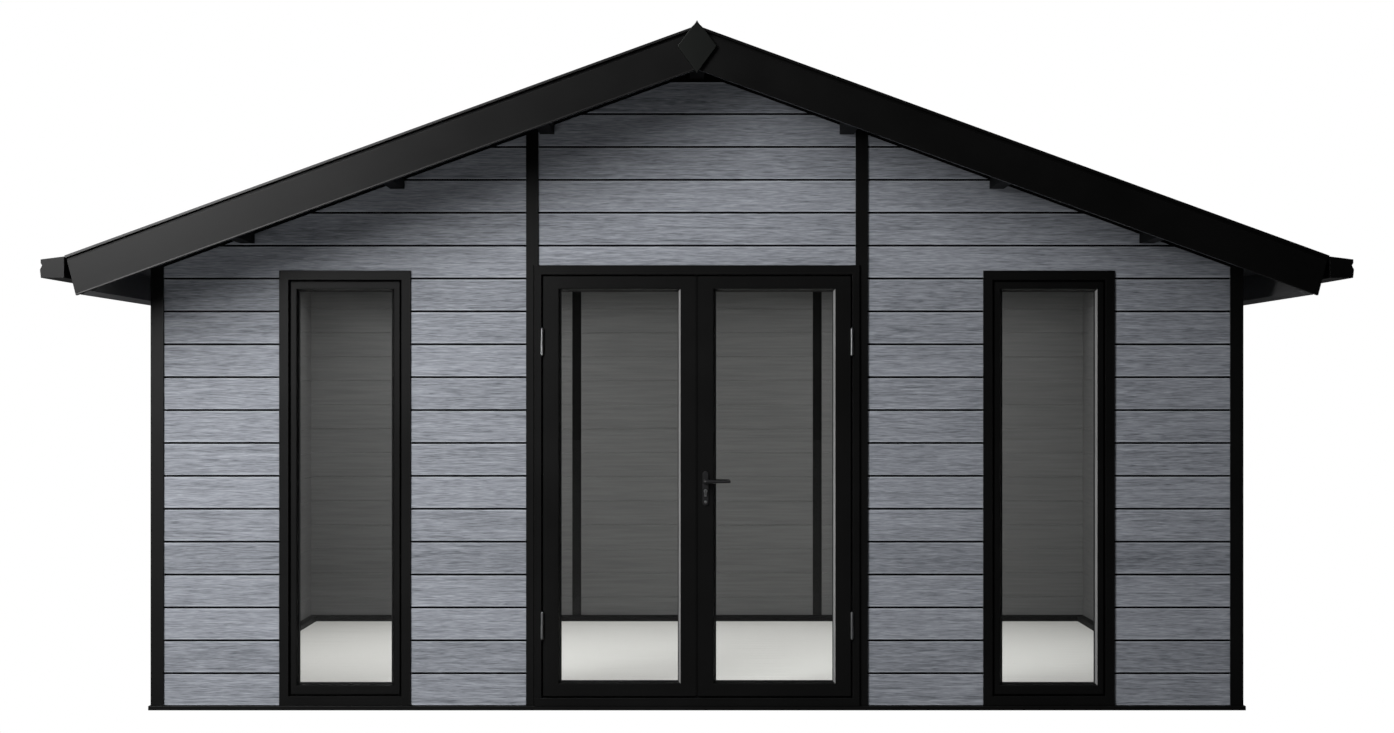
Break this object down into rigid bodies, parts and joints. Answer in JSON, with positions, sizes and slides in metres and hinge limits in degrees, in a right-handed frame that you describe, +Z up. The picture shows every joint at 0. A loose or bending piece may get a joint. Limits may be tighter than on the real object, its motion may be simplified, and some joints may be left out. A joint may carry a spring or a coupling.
{
  "type": "garden office pod",
  "caption": "Gabled garden office pod with board cladding, full-height windows, glazed double doors that open outward, purlins, barge boards, ridge finials and gutters.",
  "frame": {"origin": "middle of the footprint, on the ground", "axes": "+X to the right as seen from the front, -Y out of the front doors, +Z up"},
  "size_m": [5.744, 4.9, 3.0733],
  "materials": {
    "frame_metal": "satin powder coat, near black",
    "joinery_metal": "satin powder coat, near black",
    "roof_metal": "satin powder coat, charcoal",
    "cladding": "wood-polymer board, embossed grain, slate grey",
    "soffit": "matt coated panel, mid grey",
    "felt": "mineral roofing felt",
    "deck": "pale floor boards",
    "glass": "clear insulating glass",
    "steel": "satin",
    "handle": "fine powder coat, dark"
  },
  "bodies": {
    "building": {"base_frame": "frame_metal", "floor_deck": "deck", "corner_posts": "frame_metal", "gable_posts": "frame_metal", "side_posts": "frame_metal", "front_wall_left": "cladding", "front_wall_right": "cladding", "front_gable_wall": "cladding", "rear_wall_left": "cladding", "rear_wall_middle": "cladding", "rear_wall_right": "cladding", "left_wall": "cladding", "right_wall": "cladding", "gable_trims": "frame_metal", "ridge_beam": "frame_metal", "purlins": "frame_metal", "roof_panel_left": "soffit", "roof_panel_right": "soffit", "roof_covering_left": "felt", "roof_covering_right": "felt", "ridge_cap": "roof_metal", "barge_boards_left": "roof_metal", "barge_boards_right": "roof_metal", "verge_trims": "roof_metal", "finials": "roof_metal", "eave_fascias": "roof_metal", "gutter_left": "roof_metal", "gutter_right": "roof_metal", "gutter_brackets": "roof_metal", "window_frames": "joinery_metal", "window_sashes": "joinery_metal", "window_panes": "glass", "door_frame": "joinery_metal", "door_threshold": "joinery_metal", "hinge_knuckles": "steel"},
    "left_door": {"door_leaf_left": "joinery_metal", "door_glass_left": "glass", "door_hinges_left": "steel"},
    "right_door": {"door_leaf_right": "joinery_metal", "door_glass_right": "glass", "door_hinges_right": "steel", "handle_plates": "handle", "lock_cylinder": "steel"},
    "lever": {"handle_lever": "handle"}
  },
  "joints": [
    {"name": "left_door_hinge", "type": "hinge", "parent": "building", "child": "left_door", "pos_m": [-0.7045, -2.018, 1.02], "axis": [0, 0, -1], "range_deg": [0, 100]},
    {"name": "right_door_hinge", "type": "hinge", "parent": "building", "child": "right_door", "pos_m": [0.7045, -2.018, 1.02], "axis": [0, 0, 1], "range_deg": [0, 100]},
    {"name": "lever_turn", "type": "hinge", "parent": "right_door", "child": "lever", "pos_m": [0.039, -1.978, 1.042], "axis": [0, 1, 0], "range_deg": [0, 40], "stiffness_Nm_per_rad": 1.5, "springref_deg": -17.19}
  ]
}
